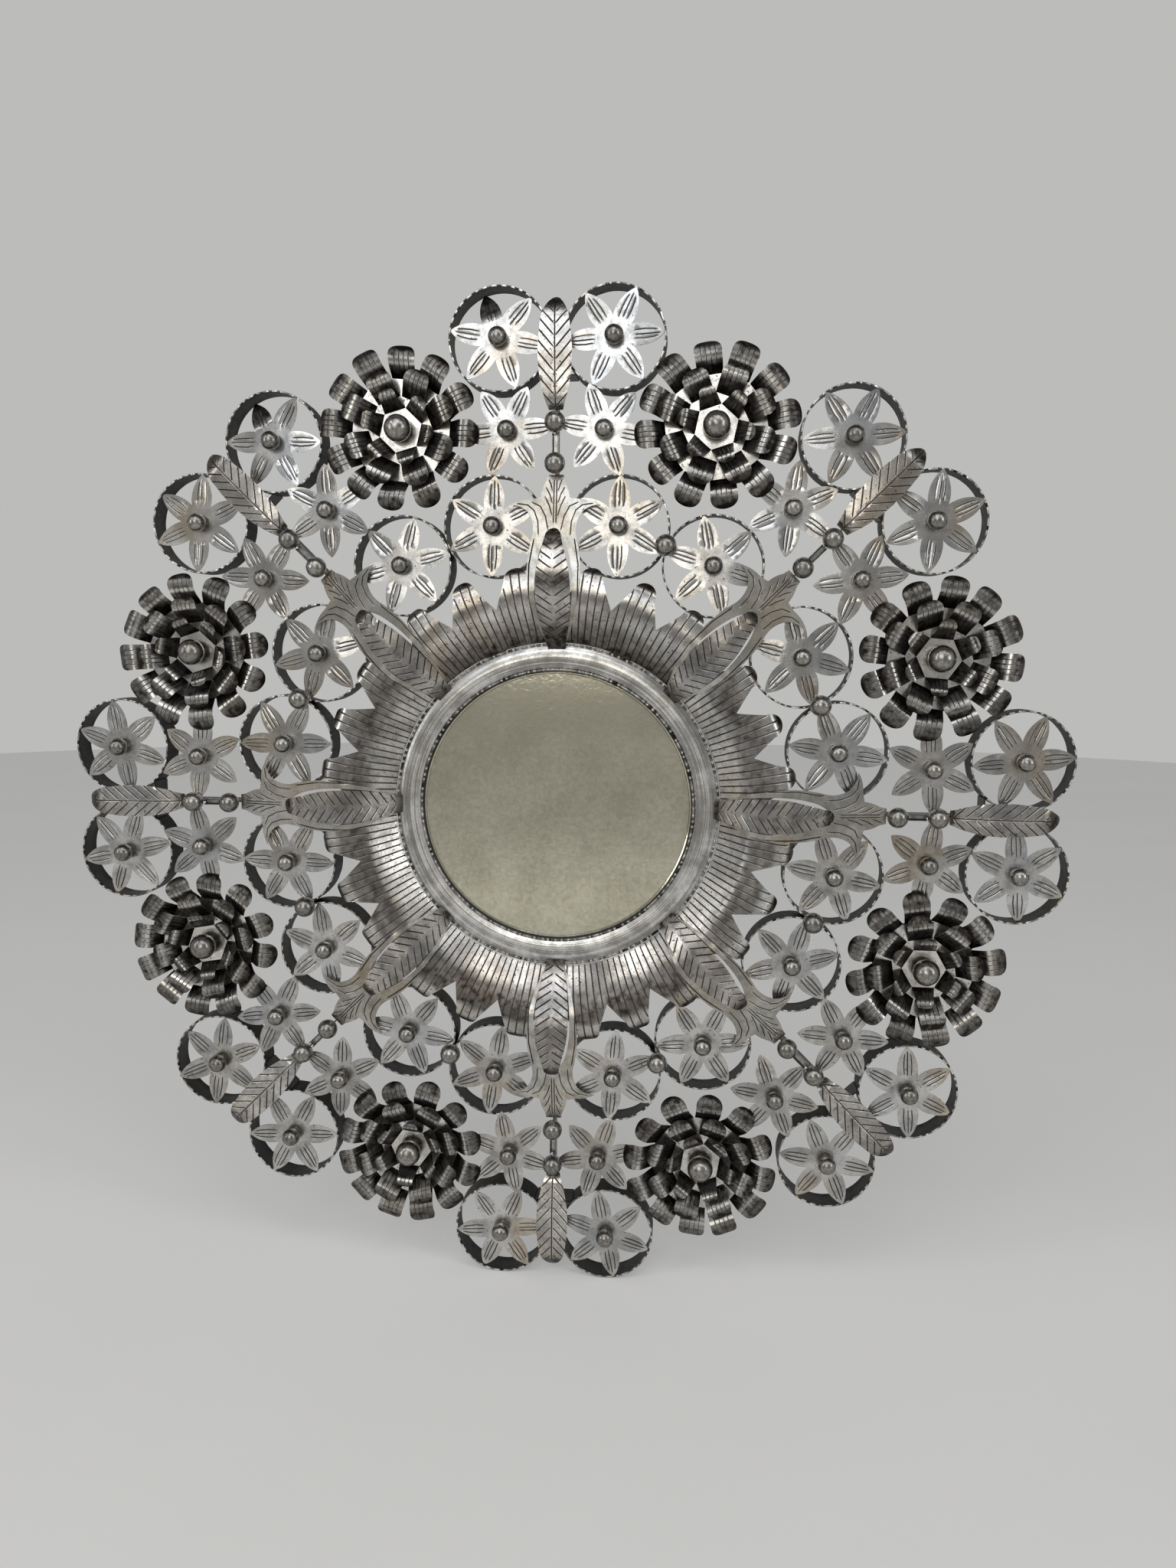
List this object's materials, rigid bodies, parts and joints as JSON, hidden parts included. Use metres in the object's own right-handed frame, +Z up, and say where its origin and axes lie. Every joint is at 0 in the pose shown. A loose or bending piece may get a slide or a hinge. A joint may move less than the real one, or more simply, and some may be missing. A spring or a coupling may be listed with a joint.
{
  "type": "mexican tin mirror",
  "caption": "Round wall mirror in a wide soldered tin frame of ribbed collar, leaves, hoops with flowers, balls and curled rosettes.",
  "frame": {"origin": "centre of the back pan's face on the wall", "axes": "-Y towards the viewer, +Z up, +X to the right as seen from the front"},
  "size_m": [0.9864, 0.0525, 0.9862],
  "materials": {
    "mirror_glass": "silvered float glass, slightly aged, with a ground edge",
    "backing_board": "raw hardboard",
    "back_tin": "plain tin plate, grey with age and handling",
    "ring_tin": "tin plate rubbed smooth, fine scratches",
    "collar_tin": "ribbed tin plate, dark in the grooves",
    "leaf_tin": "chevron-chased tin plate, dark in the lines",
    "palmette_tin": "chased tin plate with dark specks",
    "strip_steel": "blackened strip, bright on its front edge",
    "flower_tin": "embossed tin plate, warm tarnish specks",
    "rosette_tin": "darkened tin plate, rubbed bright on the curls",
    "ball_steel": "polished steel, smoky"
  },
  "bodies": {
    "root": {"mirror_glass": "mirror_glass", "backing_board": "backing_board", "back_pan": "back_tin", "hanging_lugs": "back_tin", "bezel_band": "ring_tin", "bezel_outer_wire": "ring_tin", "bezel_inner_wire": "ring_tin", "collar_segment_1": "collar_tin", "collar_segment_2": "collar_tin", "collar_segment_3": "collar_tin", "collar_segment_4": "collar_tin", "collar_segment_5": "collar_tin", "collar_segment_6": "collar_tin", "collar_segment_7": "collar_tin", "collar_segment_8": "collar_tin", "inner_leaf_1": "leaf_tin", "inner_leaf_2": "leaf_tin", "inner_leaf_3": "leaf_tin", "inner_leaf_4": "leaf_tin", "inner_leaf_5": "leaf_tin", "inner_leaf_6": "leaf_tin", "inner_leaf_7": "leaf_tin", "inner_leaf_8": "leaf_tin", "outer_leaf_1": "leaf_tin", "outer_leaf_2": "leaf_tin", "outer_leaf_3": "leaf_tin", "outer_leaf_4": "leaf_tin", "outer_leaf_5": "leaf_tin", "outer_leaf_6": "leaf_tin", "outer_leaf_7": "leaf_tin", "outer_leaf_8": "leaf_tin", "palmette_1": "palmette_tin", "palmette_2": "palmette_tin", "palmette_3": "palmette_tin", "palmette_4": "palmette_tin", "palmette_5": "palmette_tin", "palmette_6": "palmette_tin", "palmette_7": "palmette_tin", "palmette_8": "palmette_tin", "radial_struts": "strip_steel", "cross_struts": "strip_steel", "inner_hoops": "strip_steel", "outer_hoops": "strip_steel", "inner_flowers": "flower_tin", "middle_flowers": "flower_tin", "outer_flowers": "flower_tin", "axis_links": "flower_tin", "rosette_outer_petals": "rosette_tin", "rosette_middle_petals": "rosette_tin", "rosette_inner_petals": "rosette_tin", "flower_balls": "ball_steel", "axis_balls": "ball_steel", "knot_balls": "ball_steel", "rosette_balls": "ball_steel"}
  },
  "joints": []
}
